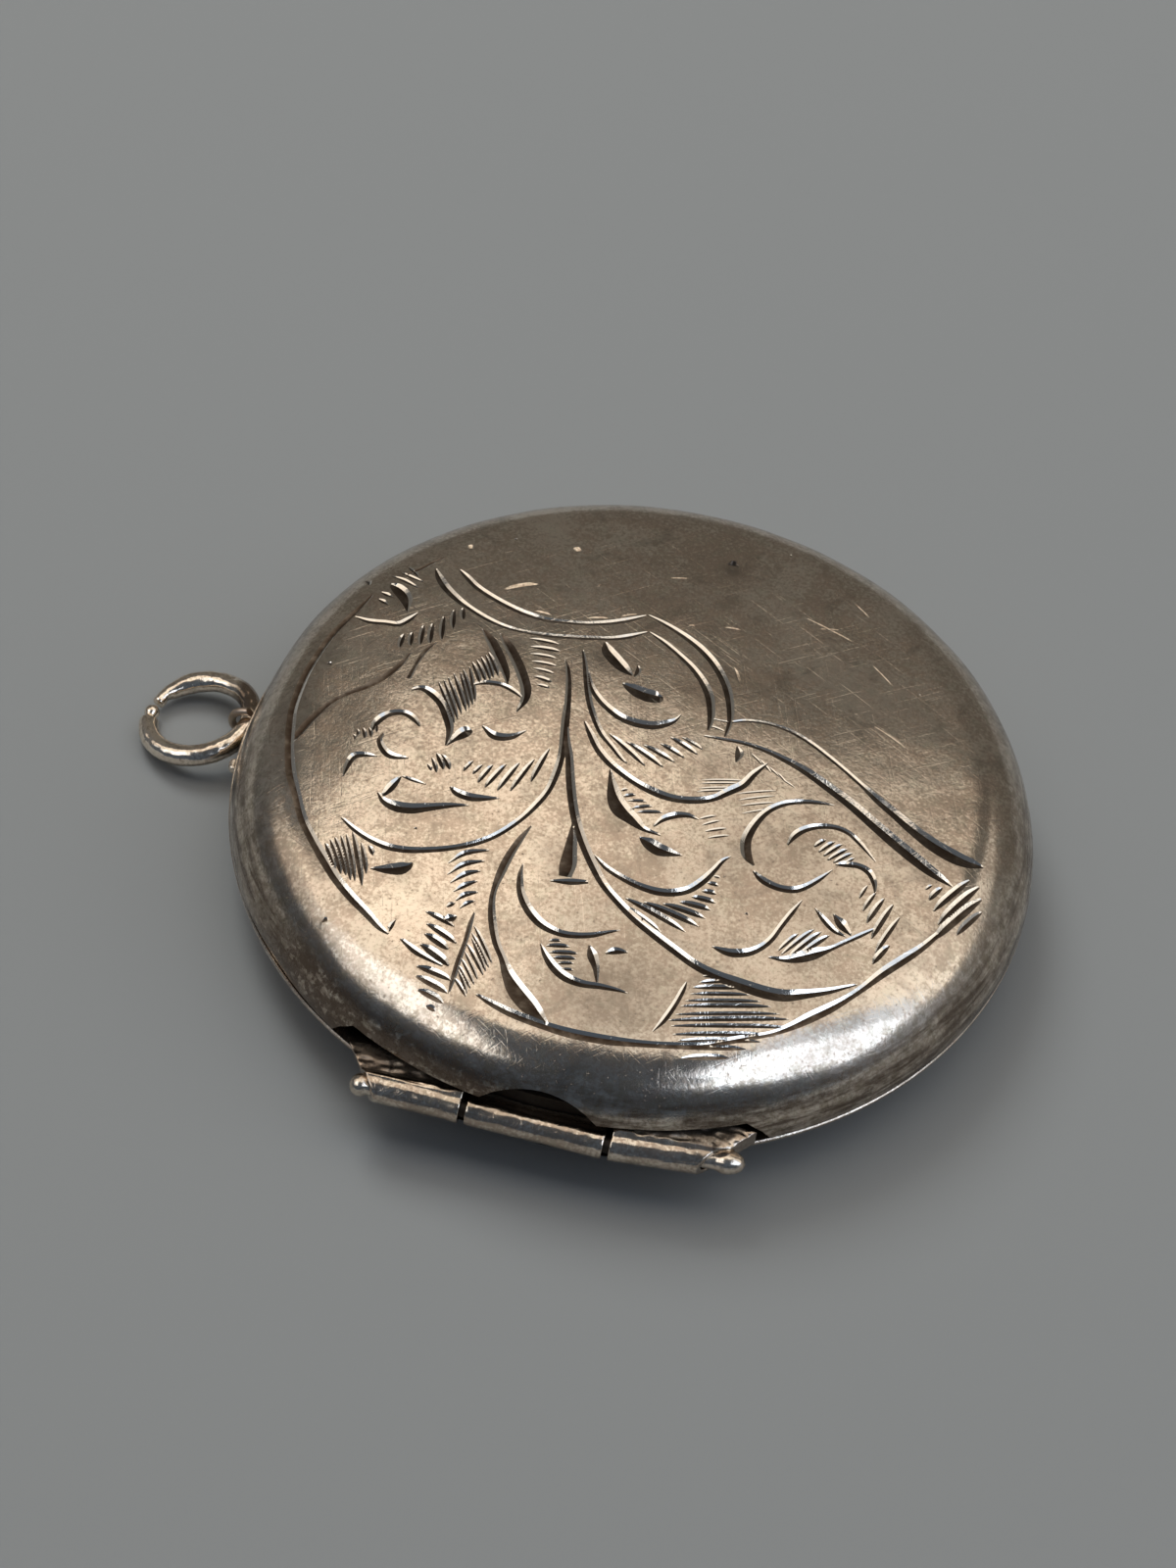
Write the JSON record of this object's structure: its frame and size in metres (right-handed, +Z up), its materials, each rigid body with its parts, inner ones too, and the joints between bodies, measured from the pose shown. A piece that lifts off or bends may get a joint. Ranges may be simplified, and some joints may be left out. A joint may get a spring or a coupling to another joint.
{
  "type": "locket",
  "caption": "Round hinged photo locket: a domed engraved front cover over a shallow back, with inner bezels, frames and windows, and a bail ring at its side.",
  "frame": {"origin": "middle of the flat patch under the back cover, on which the closed locket lies", "axes": "+Z up through the front cover's crown, +X away from the bail along the hinge's direction, +Y away from the hinge"},
  "size_m": [0.0346, 0.0303, 0.0058],
  "materials": {
    "front_silver": "worn, tarnished sterling silver with dark engraved lines",
    "back_silver": "worn, tarnished sterling silver",
    "inner_silver": "satin silver, lightly tarnished",
    "frame_silver": "polished silver",
    "hinge_silver": "worn silver, dark in its recesses",
    "pin_silver": "polished silver wire",
    "ring_silver": "rubbed, warm silver wire",
    "solder": "dull yellowish solder",
    "window": "clear celluloid",
    "card": "blank aged card"
  },
  "bodies": {
    "back": {"back_cover": "back_silver", "back_bezel": "inner_silver", "back_photo_frame": "frame_silver", "back_window": "window", "back_photo_card": "card", "hinge_knuckle_left": "hinge_silver", "hinge_knuckle_right": "hinge_silver", "hinge_pin": "pin_silver", "bail_seat": "solder", "bail_eyelet": "hinge_silver"},
    "front": {"front_cover": "front_silver", "front_bezel": "inner_silver", "front_photo_frame": "frame_silver", "front_window": "window", "front_photo_card": "card", "hinge_knuckle_middle": "hinge_silver"},
    "ring": {"jump_ring": "ring_silver"}
  },
  "joints": [
    {"name": "cover_hinge", "type": "hinge", "parent": "back", "child": "front", "pos_m": [0, -0.0147, 0.00222], "axis": [1, 0, 0], "range_deg": [0, 180]},
    {"name": "ring_swing", "type": "hinge", "parent": "back", "child": "ring", "pos_m": [-0.01525, 0.0006, 0.00118], "axis": [0, 1, 0], "range_deg": [-90, 60]}
  ]
}
